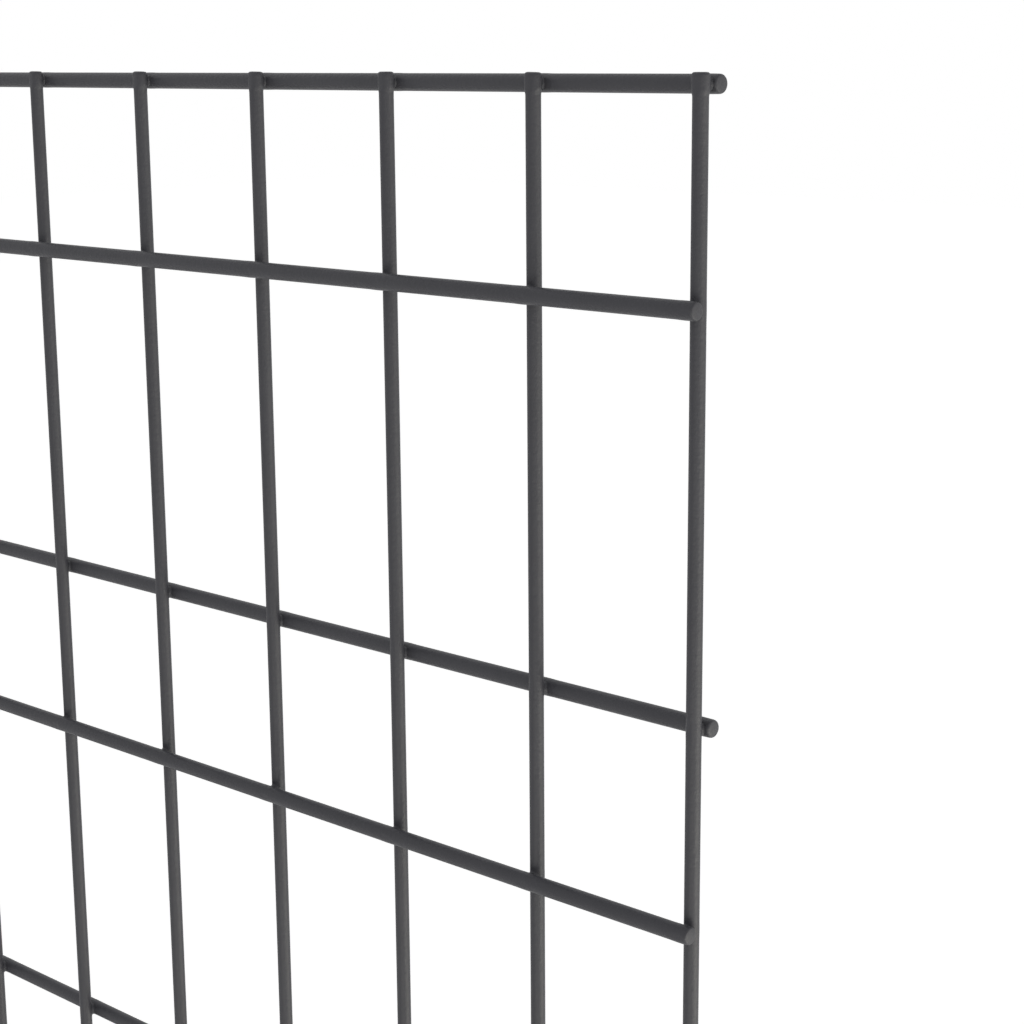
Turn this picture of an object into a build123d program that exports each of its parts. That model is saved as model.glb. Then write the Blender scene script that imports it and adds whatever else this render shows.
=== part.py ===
from build123d import *
import os

# Decorative mesh fence panel: straight, round, powder-coated wires, welded where they cross.
# The horizontal wires come in pairs, the upper one behind the vertical wires and the lower one in front.
# X runs along the panel's width, Y from front to back and Z up. The origin is at the middle of the
# bottom edge, in the plane that the vertical wires' axes lie in.

# Driving dimensions, in millimetres. Wire diameters are measured over the coating.
vertical_wire_diameter = 3.8
vertical_wire_count = 41
vertical_pitch = 50.0
horizontal_wire_diameter = 4.45
horizontal_pair_count = 9
gap_within_pair = 50.0
gap_between_pairs = 100.0

# Free wire past the axis of the last wire that it crosses
horizontal_overhang = 2.9
vertical_overhang = 2.65

# Welds: the wires sink into each other a little, and a square spot between them is fused
weld_set_down = 0.1
weld_spot_width = 3.0

# The free ends of the vertical wires, flattened and spread sideways by the welding pressure
upset_head_width = 4.6
upset_head_thickness = 3.4
upset_head_length = 4.5

# Edge of a cut end, rounded by the coating
cut_edge_radius = 0.4

# Sizes that follow from the ones above
vertical_wire_radius = vertical_wire_diameter / 2
horizontal_wire_radius = horizontal_wire_diameter / 2
axis_offset = vertical_wire_radius + horizontal_wire_radius - weld_set_down
pair_step = gap_within_pair + gap_between_pairs
crossing_height = horizontal_pair_count * pair_step - gap_between_pairs
vertical_wire_length = crossing_height + 2 * vertical_overhang
crossing_width = (vertical_wire_count - 1) * vertical_pitch
horizontal_wire_length = crossing_width + 2 * horizontal_overhang
top_wire_height = vertical_wire_length - vertical_overhang

vertical_places = [i * vertical_pitch - crossing_width / 2 for i in range(vertical_wire_count)]
back_heights = [top_wire_height - i * pair_step for i in range(horizontal_pair_count)]
front_heights = [height - gap_within_pair for height in back_heights]


def horizontal_wire(side, height):
    """A horizontal wire in its place: side is +1 behind the vertical wires and -1 in front of them."""
    wire = Rot(0, 90, 0) * Cylinder(horizontal_wire_radius, horizontal_wire_length)
    cut_edges = wire.edges().filter_by(GeomType.CIRCLE)
    return Pos(0, side * axis_offset, height) * fillet(cut_edges, cut_edge_radius)


def upset_head():
    """The flattened end of a vertical wire, pointing up, with its cut face at height 0."""
    section = SlotOverall(upset_head_width, upset_head_thickness)
    head = Pos(0, 0, -upset_head_length) * extrude(section, upset_head_length)
    cut_edges = head.faces().sort_by(Axis.Z)[-1].edges()
    return fillet(cut_edges, cut_edge_radius)


def weld_spot(side, height):
    """The fused metal between a vertical wire and the horizontal wire on one side of it, at a height."""
    spot = Box(weld_spot_width, axis_offset, weld_spot_width)
    return Pos(0, side * axis_offset / 2, height) * spot


def vertical_wire():
    """A vertical wire that stands on the origin, with its weld spots shaped to each horizontal wire."""
    shank = Cylinder(vertical_wire_radius, vertical_wire_length - 2 * upset_head_length)
    wire = Pos(0, 0, vertical_wire_length / 2) * shank
    wire += Pos(0, 0, vertical_wire_length) * upset_head()
    wire += Rot(180, 0, 0) * upset_head()
    crossings = [(+1, height) for height in back_heights] + [(-1, height) for height in front_heights]
    wire += [weld_spot(side, height) for side, height in crossings]
    wire -= [horizontal_wire(side, height) for side, height in crossings]
    return wire


def write_wires(name, wires):
    """Write each wire to its own file, numbered from 1."""
    for number, wire in enumerate(wires, start=1):
        wire.label = f"{name}_{number:02d}"
        export_step(wire, f"parts/{wire.label}.step")


os.makedirs("parts", exist_ok=True)
welded_wire = vertical_wire()
write_wires("vertical_wire", [Pos(place, 0, 0) * welded_wire for place in vertical_places])
write_wires("back_wire", [horizontal_wire(+1, height) for height in back_heights])
write_wires("front_wire", [horizontal_wire(-1, height) for height in front_heights])
print(f"panel {horizontal_wire_length} mm wide and {vertical_wire_length} mm high")
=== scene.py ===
# %% [markdown]
# # A decorative mesh fence panel
# The panel is made of nothing but straight, round steel wires. Thinner wires stand upright, and thicker
# ones run across them in close pairs, one wire behind the uprights and the next in front. Every crossing
# is welded, and then the whole panel is powder coated in anthracite. The CAD frame says where each wire
# lies, and this script gives the wires their pressed ends, their weld marks and their coat.

# %% Load the frame
import math
import random
from collections import namedtuple

import bmesh
import bpy
from mathutils import Matrix, Vector


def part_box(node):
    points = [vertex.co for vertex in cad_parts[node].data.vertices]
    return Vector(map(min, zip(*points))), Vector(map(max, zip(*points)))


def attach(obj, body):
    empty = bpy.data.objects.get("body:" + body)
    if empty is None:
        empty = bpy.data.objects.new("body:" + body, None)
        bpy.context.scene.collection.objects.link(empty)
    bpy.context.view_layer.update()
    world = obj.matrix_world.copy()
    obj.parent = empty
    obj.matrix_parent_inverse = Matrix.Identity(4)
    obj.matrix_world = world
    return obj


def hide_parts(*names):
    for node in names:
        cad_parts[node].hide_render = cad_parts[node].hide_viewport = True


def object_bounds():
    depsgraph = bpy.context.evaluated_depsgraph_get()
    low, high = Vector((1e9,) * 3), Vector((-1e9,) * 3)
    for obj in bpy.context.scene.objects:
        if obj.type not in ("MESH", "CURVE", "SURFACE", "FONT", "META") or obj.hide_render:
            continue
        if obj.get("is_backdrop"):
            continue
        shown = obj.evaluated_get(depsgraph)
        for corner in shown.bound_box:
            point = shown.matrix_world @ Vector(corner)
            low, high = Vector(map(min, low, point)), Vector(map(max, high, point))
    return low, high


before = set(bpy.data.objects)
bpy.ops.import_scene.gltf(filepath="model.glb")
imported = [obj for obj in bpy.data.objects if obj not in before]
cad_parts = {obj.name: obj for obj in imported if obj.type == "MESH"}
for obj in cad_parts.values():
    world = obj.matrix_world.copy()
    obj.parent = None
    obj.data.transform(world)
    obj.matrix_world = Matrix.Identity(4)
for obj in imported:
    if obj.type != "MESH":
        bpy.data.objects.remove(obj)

cad_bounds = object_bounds()
MM = 0.001


def nodes_named(start):
    """The frame's nodes whose names start with a word, in the order of their numbers."""
    return sorted(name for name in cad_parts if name.startswith(start))


upright_nodes = nodes_named("vertical_wire")
back_nodes = nodes_named("back_wire")
front_nodes = nodes_named("front_wire")
print("upright wires:", len(upright_nodes))
print("crossing wires:", len(back_nodes), "behind the uprights and", len(front_nodes), "in front")

# %% [markdown]
# ## Where the wires run
# A straight wire needs only its axis, its thickness and its length. The middle of a node's box lies on the
# axis of a crossing wire, and gives the place of an upright along the panel. So the places come from the
# frame, and only the two wire thicknesses, measured over the coat, are written here.

# %% Read the axes from the frame
UPRIGHT_RADIUS = 3.8 * MM / 2
CROSS_RADIUS = 4.45 * MM / 2


def middle(node):
    """The middle of a node's box."""
    low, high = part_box(node)
    return (low + high) / 2


upright_x = [middle(node).x for node in upright_nodes]
back_z = [middle(node).z for node in back_nodes]
front_z = [middle(node).z for node in front_nodes]
axis_offset = middle(back_nodes[0]).y
panel_height = cad_bounds[1].z
panel_width = cad_bounds[1].x - cad_bounds[0].x
set_down = UPRIGHT_RADIUS + CROSS_RADIUS - axis_offset
print("panel, mm:", round(panel_width / MM, 1), "wide,", round(panel_height / MM, 1), "high")
print("wires sink into each other at a weld by, mm:", round(set_down / MM, 3))

# %% [markdown]
# ## The camera
# The photographer stood off the panel's right end, level with its top wire, and looked back along the mesh
# and a little down. Such a place is easiest to measure from a point of the object, so it is given from the
# corner where the top wire crosses the last upright. Turn, tilt and roll are one rotation each, in that
# order.

# %% Place the camera
corner = Vector((upright_x[-1], 0, back_z[0]))
CAMERA_FROM_CORNER = Vector((295.59, -384.11, 7.59)) * MM
CAMERA_TURN = math.radians(42.621)
CAMERA_TILT = math.radians(-12.193)
CAMERA_ROLL = math.radians(-0.442)
NEAREST_SEEN = 10 * MM
FARTHEST_SEEN = 100
# Blender takes a camera's own two sizes in millimetres
SENSOR_WIDTH = 36
FOCAL_LENGTH = 75.08

camera_data = bpy.data.cameras.new("corner_camera")
camera_data.sensor_width = SENSOR_WIDTH
camera_data.lens = FOCAL_LENGTH
camera_data.clip_start = NEAREST_SEEN
camera_data.clip_end = FARTHEST_SEEN
camera = bpy.data.objects.new("corner_camera", camera_data)
aim = Matrix.Rotation(CAMERA_TURN, 4, "Z") @ Matrix.Rotation(math.pi / 2 + CAMERA_TILT, 4, "X")
aim = aim @ Matrix.Rotation(CAMERA_ROLL, 4, "Z")
camera.matrix_world = Matrix.Translation(corner + CAMERA_FROM_CORNER) @ aim
bpy.context.scene.collection.objects.link(camera)
bpy.context.scene.camera = camera
print("camera at, m:", [round(value, 4) for value in camera.location])

# %% [markdown]
# ## The coat
# Anthracite polyester powder is sprayed on dry and melted to a satin skin about a tenth of a millimetre
# thick. It is almost neutral, a trace blue, and its skin is never quite flat: it has a soft orange peel and
# a finer grain. Wire this thin shows little of that in one picture, so it could be left smooth, but then a
# close view looks like plastic. The patterns read Object coordinates, and every piece has its place in its
# mesh, so their sizes are real millimetres and they run on from wire to wire.

# %% One way to read a colour, one way to add a node
def linear(hex_colour):
    """An sRGB hex colour as the linear values that Blender's sockets take."""
    parts = [int(hex_colour[i:i + 2], 16) / 255 for i in (1, 3, 5)]
    light = [part / 12.92 if part <= 0.04045 else ((part + 0.055) / 1.055) ** 2.4 for part in parts]
    return light + [1.0]


def add_node(tree, kind, inputs=None, **settings):
    """A node with its settings. An input takes a plain value, or another node's output to link."""
    node = tree.nodes.new(kind)
    for name, value in settings.items():
        setattr(node, name, value)
    for name, value in (inputs or {}).items():
        if isinstance(value, bpy.types.NodeSocket):
            tree.links.new(value, node.inputs[name])
        else:
            node.inputs[name].default_value = value
    return node


def empty_material(name):
    """A material that has no nodes yet, and its tree."""
    material = bpy.data.materials.new(name)
    material.use_nodes = True
    material.node_tree.nodes.clear()
    return material, material.node_tree


print("a grey of #808080 is, in linear light:", round(linear("#808080")[0], 3))

# %% Anthracite polyester powder coat
# The eye sees a dark, soft-edged satin: clouds a shade apart, a peel of gentle dimples and a fine grain.
COAT_DARK = "#37373c"
COAT_LIGHT = "#404045"
# The roughness runs between these two with the grain
COAT_SATIN = 0.40
COAT_DULL = 0.56
# Polyester is about 1.5, but a textured powder mirrors less than a clear skin
COAT_IOR = 1.35
CLOUD_SIZE = 18 * MM
PEEL_SIZE = 1.2 * MM
# A real grain is nearer 0.1 mm: it is drawn coarser, because finer than a pixel it would not show
GRAIN_SIZE = 0.45 * MM
# Noise keeps to the middle third of its range, so the skin is a third as deep as these two say
PEEL_DEPTH = 0.11 * MM
GRAIN_DEPTH = 0.06 * MM


def powder_coat():
    """The coat's material: clouds tint it, the grain dulls it, peel and grain together dent it."""
    material, tree = empty_material("anthracite_polyester_powder")
    place = add_node(tree, "ShaderNodeTexCoord").outputs["Object"]
    clouds = add_node(tree, "ShaderNodeTexNoise", {"Vector": place, "Scale": 1 / CLOUD_SIZE, "Detail": 2.0})
    peel = add_node(tree, "ShaderNodeTexNoise", {"Vector": place, "Scale": 1 / PEEL_SIZE, "Detail": 1.0})
    grain = add_node(tree, "ShaderNodeTexNoise", {"Vector": place, "Scale": 1 / GRAIN_SIZE, "Detail": 1.0})
    colour = add_node(tree, "ShaderNodeMix", {
        "Factor": clouds.outputs["Fac"], "A": linear(COAT_DARK), "B": linear(COAT_LIGHT)}, data_type="RGBA")
    dullness = add_node(tree, "ShaderNodeMapRange", {
        "Value": grain.outputs["Fac"], "To Min": COAT_SATIN, "To Max": COAT_DULL})
    dimples = add_node(tree, "ShaderNodeBump", {"Height": peel.outputs["Fac"], "Distance": PEEL_DEPTH})
    skin = add_node(tree, "ShaderNodeBump", {
        "Height": grain.outputs["Fac"], "Distance": GRAIN_DEPTH, "Normal": dimples.outputs["Normal"]})
    shader = add_node(tree, "ShaderNodeBsdfPrincipled", {
        "Base Color": colour.outputs["Result"], "Roughness": dullness.outputs["Result"],
        "IOR": COAT_IOR, "Normal": skin.outputs["Normal"]})
    add_node(tree, "ShaderNodeOutputMaterial", {"Surface": shader.outputs["BSDF"]})
    return material


coat = powder_coat()
print("coat:", coat.name, "with", len(coat.node_tree.nodes), "nodes")

# %% [markdown]
# ## A round wire
# A wire is a body of revolution, so half of its outline is spun once round its axis. The outline could be
# two points, but it also gets a point wherever something happens on the wire: the rounding of a cut end,
# and a few rings each side of every weld, where the electrodes will press the wire out of round.

# %% Spin a wire from its outline
WIRE_SIDES = 32
EDGE_STEPS = 4
WELD_RINGS = [distance * MM for distance in (-3.2, -2.4, -1.6, -0.8, 0, 0.8, 1.6, 2.4, 3.2)]
POLE_MERGE = 0.001 * MM


def cut_end(radius, inward, along):
    """Outline of a cut end, from the axis over its edge, which is rounded inward and along the wire."""
    turns = [math.pi / 2 * step / EDGE_STEPS for step in range(EDGE_STEPS + 1)]
    edge = [(along * (1 - math.sin(turn)), radius - inward * (1 - math.cos(turn)))
            for turn in reversed(turns)]
    return [(0, 0)] + edge


def spun_wire(length, radius, edge, stations):
    """A wire along Z, from 0 to its length, with rounded ends and a ring at each station."""
    start = cut_end(radius, *edge)
    end = [(length - depth, out) for depth, out in reversed(start)]
    outline = start + [(station, radius) for station in stations] + end
    wire = bmesh.new()
    points = [wire.verts.new((out, 0, z)) for z, out in outline]
    lines = [wire.edges.new(pair) for pair in zip(points, points[1:])]
    bmesh.ops.spin(wire, geom=points + lines, cent=(0, 0, 0), axis=(0, 0, 1),
                   angle=math.tau, steps=WIRE_SIDES, use_merge=True)
    bmesh.ops.remove_doubles(wire, verts=wire.verts, dist=POLE_MERGE)
    bmesh.ops.recalc_face_normals(wire, faces=wire.faces)
    for face in wire.faces:
        face.smooth = True
    return wire


print("a wire has", WIRE_SIDES, "sides, and", len(WELD_RINGS), "rings at each weld")

# %% [markdown]
# ## Electrode marks
# To weld a crossing, two copper electrodes squeeze it from outside. Each leaves a small flat on its wire
# and pushes the metal a little to the sides. Pushing the nearby points back to a plane is all that takes.

# %% Press a flat into one side of a wire
FLAT_DEPTH = 0.14 * MM
FLAT_REACH = 2.6 * MM
FLAT_SPREAD = 0.025


def press_flat(wire, station, outward, radius):
    """Press one flat at a station along Z, on the side that the outward direction names."""
    sideways = Vector((0, 0, 1)).cross(outward)
    for vert in wire.verts:
        press = 1 - ((vert.co.z - station) / FLAT_REACH) ** 2
        if press <= 0:
            continue
        vert.co += sideways * vert.co.dot(sideways) * FLAT_SPREAD * press
        proud = vert.co.dot(outward) - (radius - FLAT_DEPTH * press)
        if proud > 0:
            vert.co -= outward * proud


print("electrode marks, mm:", round(FLAT_DEPTH / MM, 2), "deep, fading out by", round(FLAT_REACH / MM, 1))

# %% [markdown]
# ## Weld flash
# Between the two wires the squeezed metal runs out into a small concave collar, and the coat rounds it off
# further. A collar is a ring round the line that joins the two axes, so it is spun as a plain ring first.
# Each of its points is then moved to the near side of a ball that rolls round in the gap and touches both
# wires. Halving finds the ball: lying on the upright, it either still cuts the crossing wire or is clear of
# it. Both rims run on a little past the ball and sink under the skin, so no gap is left. No two welds run
# out alike, so there are a few collars to choose from.

# %% Roll a ball round the gap
# A section is the radius of an upright's round sides, and half the width of the flat between them
Section = namedtuple("Section", "side_radius half_flat")
ROUND_SECTION = Section(UPRIGHT_RADIUS, 0)
FLASH_FILLETS = [size * MM for size in (0.46, 0.52, 0.58)]
RIM_RUN_ON = 0.15 * MM
RIM_SINK = 0.06 * MM
HALVINGS = 30


def upright_core(spot, section):
    """The point inside the upright that its skin is rounded about, level with a spot in the gap."""
    return Vector((max(-section.half_flat, min(section.half_flat, spot.x)), 0, spot.z))


def cross_core(spot):
    """The same inside the crossing wire, which lies behind the upright."""
    return Vector((spot.x, axis_offset, 0))


def resting_ball(outward, fillet, section):
    """The middle of a ball that touches both wires, in one direction out from the weld."""
    near, far = 0, 2 * CROSS_RADIUS
    for halving in range(HALVINGS):
        reach = (near + far) / 2
        ball = outward * reach
        beside = ball.x - upright_core(ball, section).x
        ball.y = math.sqrt(max(0, (section.side_radius + fillet) ** 2 - beside ** 2))
        if (ball - cross_core(ball)).length < CROSS_RADIUS + fillet:
            near = reach
        else:
            far = reach
    return ball


def collar_outline(angle, fillet, section):
    """Four points, from inside the upright, over the ball's near side, to inside the crossing wire."""
    outward = Vector((math.cos(angle), 0, math.sin(angle)))
    ball = resting_ball(outward, fillet, section)
    to_upright = (upright_core(ball, section) - ball).normalized()
    to_cross = (cross_core(ball) - ball).normalized()
    to_weld = (to_upright + to_cross).normalized()
    # These two points part the ball's near side in about three
    near_side = [ball + (2 * to_weld + toward).normalized() * fillet for toward in (to_upright, to_cross)]
    rims = []
    for toward in (to_upright, to_cross):
        onward = (outward - toward * outward.dot(toward)).normalized()
        rims.append(ball + toward * (fillet + RIM_SINK) + onward * RIM_RUN_ON)
    return rims[:1] + near_side + rims[1:]


for fillet in FLASH_FILLETS:
    beside_weld = resting_ball(Vector((1, 0, 0)), fillet, ROUND_SECTION).x
    print("a ball of, mm:", round(fillet / MM, 2), "rests beside a weld at", round(beside_weld / MM, 2))

# %% Spin the collars
COLLAR_SIDES = 24
COLLAR_BANDS = 3


def stored(shape, name):
    """A bmesh as a mesh that stays, with the bmesh freed."""
    mesh = bpy.data.meshes.new(name)
    shape.to_mesh(mesh)
    shape.free()
    return mesh


def weld_collar(fillet, section):
    """A closed collar round the Y axis, between an upright along Z and a crossing wire behind it.

    The two hidden caps stay flat-shaded, so that they don't bend the shading of the rims."""
    collar = bmesh.new()
    points = [collar.verts.new((1, band, 0)) for band in range(COLLAR_BANDS + 1)]
    lines = [collar.edges.new(pair) for pair in zip(points, points[1:])]
    bmesh.ops.spin(collar, geom=points + lines, cent=(0, 0, 0), axis=(0, 1, 0),
                   angle=math.tau, steps=COLLAR_SIDES, use_merge=True)
    bmesh.ops.holes_fill(collar, edges=[edge for edge in collar.edges if edge.is_boundary], sides=0)
    for vert in collar.verts:
        outline = collar_outline(math.atan2(vert.co.z, vert.co.x), fillet, section)
        vert.co = outline[round(vert.co.y)]
    for face in collar.faces:
        face.smooth = len(face.verts) < COLLAR_SIDES
    return stored(collar, "weld_collar")


inner_collars = [weld_collar(fillet, ROUND_SECTION) for fillet in FLASH_FILLETS]
print("weld collars:", len(inner_collars), "of", len(inner_collars[0].polygons), "faces")

# %% [markdown]
# ## Upright wires
# At the top and bottom edges an upright ends just past a weld. There the electrodes meet no wire beyond the
# crossing, so they squash the free end into a head: flatter from front to back, wider along the panel. All
# uprights start as copies of one wire, spun and pressed once. Each point near an end is moved from its
# place on the round wire to its place on the head, and that move fades out softly below the head.

# %% Spin an upright and press its heads
HEAD_WIDTH = 4.6 * MM
HEAD_THICKNESS = 3.4 * MM
HEAD_EDGE = (0.9 * MM, 0.75 * MM)
HEAD_FULL = 3.8 * MM
HEAD_END = 5.4 * MM
HEAD_RINGS = [distance * MM for distance in (1.4, 2.4, 3.2, 3.8, 4.3, 4.7, 5.1, 5.4)]
# Nearer to the middle of a head than this, a point moves less to its side
HEAD_MIDDLE = 0.1 * MM
crossings = sorted([(z, 1) for z in back_z] + [(z, -1) for z in front_z])


def below_end(z):
    """How far a height is from the nearer end of an upright."""
    return min(z, panel_height - z)


def press_head(vert):
    """Squash a point near an end from the round wire towards a slot-shaped section."""
    share = (HEAD_END - below_end(vert.co.z)) / (HEAD_END - HEAD_FULL)
    share = min(1, max(0, share))
    # A smooth step, so that no crease shows where the head begins
    share = share * share * (3 - 2 * share)
    squash = 1 + share * (HEAD_THICKNESS / 2 / UPRIGHT_RADIUS - 1)
    side = min(1, max(-1, vert.co.x / HEAD_MIDDLE))
    vert.co.y *= squash
    vert.co.x = vert.co.x * squash + share * side * (HEAD_WIDTH - HEAD_THICKNESS) / 2


def plain_upright():
    """An upright along Z, with its heads and its electrode marks, but with no weld flash yet."""
    inner = [(z, side) for z, side in crossings if below_end(z) > HEAD_END]
    stations = HEAD_RINGS + [z + ring for z, side in inner for ring in WELD_RINGS]
    stations += [panel_height - ring for ring in reversed(HEAD_RINGS)]
    wire = spun_wire(panel_height, UPRIGHT_RADIUS, HEAD_EDGE, stations)
    for vert in wire.verts:
        press_head(vert)
    for z, side in inner:
        press_flat(wire, z, Vector((0, -side, 0)), UPRIGHT_RADIUS)
    return stored(wire, "plain_upright")


upright_mesh = plain_upright()
print("faces in an upright without its welds:", len(upright_mesh.polygons))

# %% [markdown]
# ## Welded uprights
# Each upright gets its own cut ends and a collar at every crossing. The shears leave an end a degree or two
# out of square. Round the rim of the panel, where a wire ends just past the weld, less metal runs out, so
# the collars there are smaller, and those at the heads follow the head's section. The collars could just
# sink into the wire, but then hidden faces would stay inside it. A Boolean union leaves one closed skin,
# and smooth shading runs over the joint as the coat does.

# %% Slant the cut ends
END_SLANT = (0.0, 0.04)
SEED = 41
rng = random.Random(SEED)


def slant_ends(wire):
    """Cut both ends of an upright lower towards the right, each by a slant of its own."""
    top_slant = rng.uniform(*END_SLANT)
    bottom_slant = rng.uniform(*END_SLANT)
    for vert in wire.verts:
        fade = max(0, 1 - below_end(vert.co.z) / HEAD_FULL)
        drop = (vert.co.x + HEAD_WIDTH / 2) * fade
        if vert.co.z > panel_height / 2:
            vert.co.z -= drop * top_slant
        else:
            vert.co.z += drop * bottom_slant


print("cut ends are out of square by up to, degrees:", round(math.degrees(END_SLANT[1]), 1))

# %% Choose the collars of an upright
HEAD_SECTION = Section(HEAD_THICKNESS / 2, (HEAD_WIDTH - HEAD_THICKNESS) / 2)
RIM_FILLETS = [size * MM for size in (0.32, 0.36, 0.40)]
edge_collars = [weld_collar(fillet, ROUND_SECTION) for fillet in RIM_FILLETS]
head_collars = [weld_collar(fillet, HEAD_SECTION) for fillet in RIM_FILLETS]


def collars_of_one_upright(at_edge):
    """A collar for each crossing of an upright along Z, all in one mesh."""
    collars = bmesh.new()
    for z, side in crossings:
        choices = edge_collars if at_edge else inner_collars
        if below_end(z) < HEAD_END:
            choices = head_collars
        earlier_points = set(collars.verts)
        collars.from_mesh(rng.choice(choices))
        points = [vert for vert in collars.verts if vert not in earlier_points]
        bmesh.ops.scale(collars, vec=(1, side, 1), verts=points)
        bmesh.ops.translate(collars, vec=(0, 0, z), verts=points)
    bmesh.ops.recalc_face_normals(collars, faces=collars.faces)
    return stored(collars, "collars_of_one_upright")


print("smaller collars:", len(edge_collars), "for the end uprights and", len(head_collars), "for the heads")

# %% Fuse a wire with its collars
SEAM_MERGE = 0.005 * MM


def fused(wire_mesh, collars_mesh):
    """A wire and its collars as one closed skin."""
    parts = [bpy.data.objects.new(mesh.name, mesh) for mesh in (wire_mesh, collars_mesh)]
    for part in parts:
        bpy.context.scene.collection.objects.link(part)
    union = parts[0].modifiers.new("union", "BOOLEAN")
    union.operation = "UNION"
    union.solver = "MANIFOLD"
    union.object = parts[1]
    graph = bpy.context.evaluated_depsgraph_get()
    skin = bmesh.new()
    skin.from_object(parts[0], graph)
    for part in parts:
        bpy.data.objects.remove(part)
    # The solver may number its points in another order each time. Sorted, the same ones always merge
    points = sorted(skin.verts, key=lambda vert: vert.co[:])
    bmesh.ops.remove_doubles(skin, verts=points, dist=SEAM_MERGE)
    return skin


print("points merge along a weld's seam below, mm:", round(SEAM_MERGE / MM, 3))

# %% [markdown]
# ## Coated pieces
# A real panel is coated in one piece, after welding, so all wires share one coat. A wire could be an object
# that is turned and moved into place, but then the coat's pattern would turn and move with it. So every
# wire is put in its place inside its mesh. Each piece rides on the panel's one body, is named after its CAD
# wire, which is hidden, and has the coat in its material slot.

# %% Coat the uprights and put them in their places
def coated_piece(shape, node):
    """Make a finished shape a coated piece named after its CAD node, and hide that node."""
    bmesh.ops.recalc_face_normals(shape, faces=shape.faces)
    mesh = stored(shape, node + "_coated")
    mesh.materials.append(coat)
    piece = bpy.data.objects.new(mesh.name, mesh)
    bpy.context.scene.collection.objects.link(piece)
    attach(piece, "root")
    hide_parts(node)


for node, x in zip(upright_nodes, upright_x):
    wire = bmesh.new()
    wire.from_mesh(upright_mesh)
    slant_ends(wire)
    at_edge = node in (upright_nodes[0], upright_nodes[-1])
    skin = fused(stored(wire, "slanted_upright"), collars_of_one_upright(at_edge))
    bmesh.ops.translate(skin, vec=(x, 0, 0), verts=skin.verts)
    coated_piece(skin, node)
print("uprights:", len(upright_nodes), "with", len(upright_nodes) * len(crossings), "welds")

# %% [markdown]
# ## Crossing wires
# The crossing wires are cut square, and only the coat softens their edges. They carry an electrode mark at
# every upright, on the side away from it. One wire is spun and pressed along Z, then laid along X and moved
# to its place. A front wire is the same wire as a back wire, turned half round its axis.

# %% Spin, press and place the crossing wires
CUT_EDGE = (0.4 * MM, 0.7 * MM)


def plain_crossing_wire():
    """A crossing wire along Z, with its electrode marks towards +Y."""
    welds = [x + panel_width / 2 for x in upright_x]
    stations = [weld + ring for weld in welds for ring in WELD_RINGS]
    stations = [station for station in stations if CUT_EDGE[1] < station < panel_width - CUT_EDGE[1]]
    wire = spun_wire(panel_width, CROSS_RADIUS, CUT_EDGE, stations)
    for weld in welds:
        press_flat(wire, weld, Vector((0, 1, 0)), CROSS_RADIUS)
    return stored(wire, "plain_crossing_wire")


crossing_mesh = plain_crossing_wire()
for node in back_nodes + front_nodes:
    place = middle(node)
    half_turn = 0 if node in back_nodes else math.pi
    lay = Matrix.Rotation(half_turn, 3, "X") @ Matrix.Rotation(math.pi / 2, 3, "Y")
    wire = bmesh.new()
    wire.from_mesh(crossing_mesh)
    bmesh.ops.translate(wire, vec=(0, 0, -panel_width / 2), verts=wire.verts)
    bmesh.ops.rotate(wire, verts=wire.verts, cent=(0, 0, 0), matrix=lay)
    bmesh.ops.translate(wire, vec=(0, place.y, place.z), verts=wire.verts)
    coated_piece(wire, node)
print("crossing wires:", len(back_nodes + front_nodes), "of", len(crossing_mesh.polygons), "faces each")

# %% [markdown]
# ## The floor
# The panel stands in a white studio whose floor has no visible end. More light on the floor would make it
# white too, but it would flood the wires. So the floor is a plain matt sheet with a glow that only some
# rays see: those that look at it from the camera, in a gloss or through a glass. The rays that gather soft
# light for the wires don't see the glow, and the panel keeps its faint shadow on the floor.

# %% Lay the white floor
FLOOR_SIZE = 30
FLOOR_PAINT = "#f0f0f0"
FLOOR_GLOW = 0.485
WHITE = "#ffffff"


def looked_at(tree):
    """An output that is 1 for rays from the camera, a gloss or a glass, and 0 where light is gathered."""
    rays = add_node(tree, "ShaderNodeLightPath").outputs
    seen = rays["Is Camera Ray"]
    for kind in ("Is Glossy Ray", "Is Transmission Ray"):
        either = add_node(tree, "ShaderNodeMath", {0: seen, 1: rays[kind]}, operation="MAXIMUM")
        seen = either.outputs["Value"]
    return seen


def matt_white_floor():
    """The floor's material: matt paint, and a glow for the rays that look at it."""
    material, tree = empty_material("matt_white_floor")
    glow = add_node(tree, "ShaderNodeMath", {0: looked_at(tree), 1: FLOOR_GLOW}, operation="MULTIPLY")
    paint = add_node(tree, "ShaderNodeBsdfDiffuse", {"Color": linear(FLOOR_PAINT)})
    light = add_node(tree, "ShaderNodeEmission", {
        "Color": linear(WHITE), "Strength": glow.outputs["Value"]})
    both = add_node(tree, "ShaderNodeAddShader", {0: paint.outputs["BSDF"], 1: light.outputs["Emission"]})
    add_node(tree, "ShaderNodeOutputMaterial", {"Surface": both.outputs["Shader"]})
    return material


sheet = bmesh.new()
bmesh.ops.create_grid(sheet, x_segments=1, y_segments=1, size=FLOOR_SIZE / 2)
floor_mesh = stored(sheet, "floor")
floor_mesh.materials.append(matt_white_floor())
floor = bpy.data.objects.new("floor", floor_mesh)
bpy.context.scene.collection.objects.link(floor)
floor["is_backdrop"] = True
print("floor, m:", FLOOR_SIZE, "square, under a panel that is", round(panel_height, 3), "high")

# %% [markdown]
# ## The room
# White walls send soft light to the wires from all round, and the world stands for them. Rays that look at
# the walls find plain white, strength 1. Rays that gather light find them dimmer, because the softboxes
# below give the rest.

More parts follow.
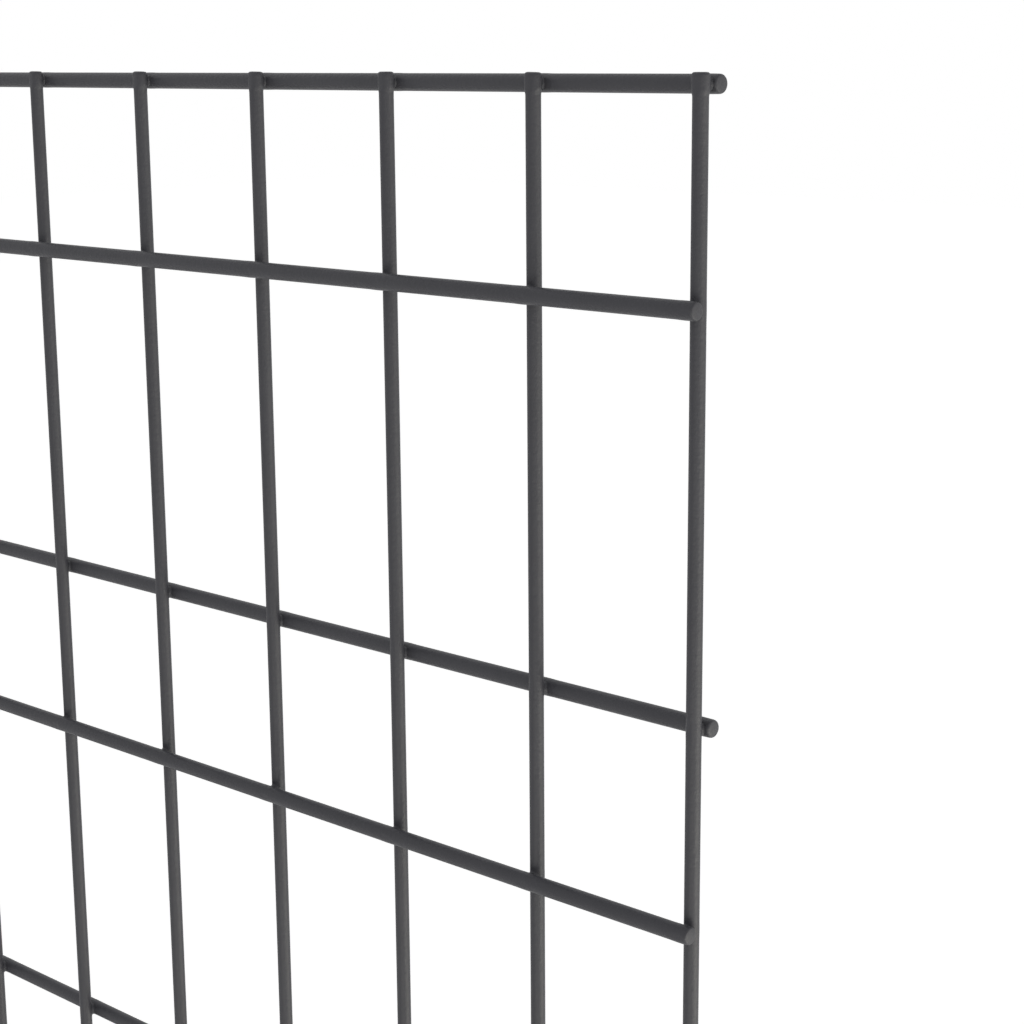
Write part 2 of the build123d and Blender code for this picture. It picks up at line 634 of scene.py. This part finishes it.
# %% Light the room
ROOM_LEVEL = 0.6
world = bpy.data.worlds.new("white_room")
bpy.context.scene.world = world
world.use_nodes = True
room = world.node_tree
room.nodes.clear()
level = add_node(room, "ShaderNodeMapRange", {
    "Value": looked_at(room), "To Min": ROOM_LEVEL, "To Max": 1.0})
walls = add_node(room, "ShaderNodeBackground", {
    "Color": linear(WHITE), "Strength": level.outputs["Result"]})
add_node(room, "ShaderNodeOutputWorld", {"Surface": walls.outputs["Background"]})
print("room level for soft light:", ROOM_LEVEL)

# %% [markdown]
# ## The softboxes
# On the photographed wires the right sides and the undersides are the brighter ones, and no highlight has
# an edge. So the lamps are large and soft: one stands off the panel's right end, and two low ones, to the
# right and in front, stand in for light that comes back from a bright floor. Each is aimed at the corner
# that the camera looks at. Their places and sizes are in metres.

# %% Set up the softboxes
WARM_WHITE = "#fffcee"


def softbox(name, from_corner, width, height, watts):
    """A rectangular lamp that is aimed at the corner and that the camera doesn't see."""
    data = bpy.data.lights.new(name, "AREA")
    data.shape = "RECTANGLE"
    data.size = width
    data.size_y = height
    data.energy = watts
    data.color = linear(WARM_WHITE)[:3]
    lamp = bpy.data.objects.new(name, data)
    place = corner + Vector(from_corner)
    aim = (corner - place).to_track_quat("-Z", "Y").to_matrix().to_4x4()
    lamp.matrix_world = Matrix.Translation(place) @ aim
    lamp.visible_camera = False
    bpy.context.scene.collection.objects.link(lamp)
    return lamp


softboxes = [
    softbox("right_softbox", from_corner=(2.53, 0.71, -0.515), width=2.2, height=1.5, watts=16),
    softbox("low_right_softbox", from_corner=(1.3, 0.25, -0.95), width=1.4, height=0.5, watts=14),
    softbox("low_front_softbox", from_corner=(0.6, -1.4, -0.95), width=1.6, height=0.5, watts=7.5),
]
print("softboxes, W:", {lamp.name: lamp.data.energy for lamp in softboxes})

# %% [markdown]
# ## Colours as written
# The Standard view shows a colour as it was written. The last step prints the sizes of the CAD model and of
# the dressed model side by side.

# %% Finish
bpy.context.scene.view_settings.view_transform = "Standard"
visual_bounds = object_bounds()
for name, (low, high) in (("CAD", cad_bounds), ("dressed", visual_bounds)):
    print(name, "box, mm:", [round(value / MM, 2) for value in high - low])
